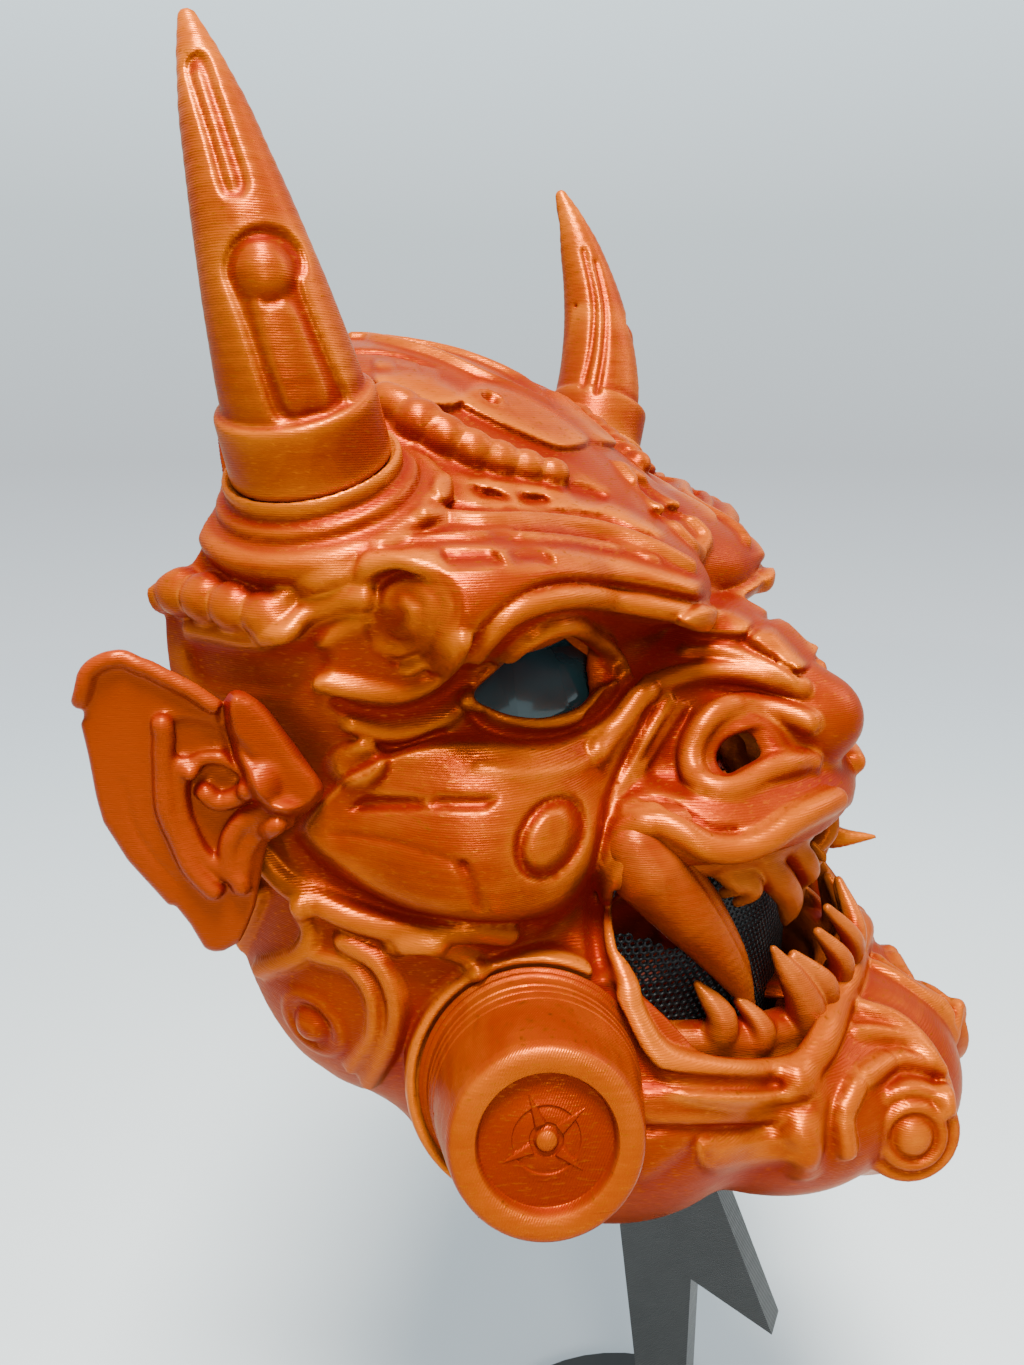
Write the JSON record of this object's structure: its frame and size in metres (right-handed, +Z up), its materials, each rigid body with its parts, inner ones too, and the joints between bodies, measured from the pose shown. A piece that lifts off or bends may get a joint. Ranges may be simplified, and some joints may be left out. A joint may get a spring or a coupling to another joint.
{
  "type": "oni mask on a display stand",
  "caption": "Hollow demon face mask with horns, ears, filter canisters, fangs, tinted lenses and a mouth screen, on a flat arrow-shaped stand with a round foot.",
  "frame": {"origin": "centre of the underside of the stand's foot", "axes": "+Z up, -Y the way the mask faces, +X towards the wearer's left ear"},
  "size_m": [0.2234, 0.1667, 0.4045],
  "materials": {
    "orange_plastic": "silky printed plastic",
    "smoked_plastic": "smoked, glossy",
    "black_screen": "satin black, perforated",
    "grey_plastic": "matte printed plastic"
  },
  "bodies": {
    "root": {"face_shell": "orange_plastic", "horn_right": "orange_plastic", "horn_left": "orange_plastic", "ear_right": "orange_plastic", "ear_left": "orange_plastic", "canister_right": "orange_plastic", "canister_left": "orange_plastic", "upper_teeth": "orange_plastic", "lower_teeth": "orange_plastic", "upper_tusk_right": "orange_plastic", "upper_tusk_left": "orange_plastic", "eye_lens_right": "smoked_plastic", "eye_lens_left": "smoked_plastic", "mouth_screen": "black_screen", "stand_spine": "grey_plastic", "stand_foot": "grey_plastic"}
  },
  "joints": []
}
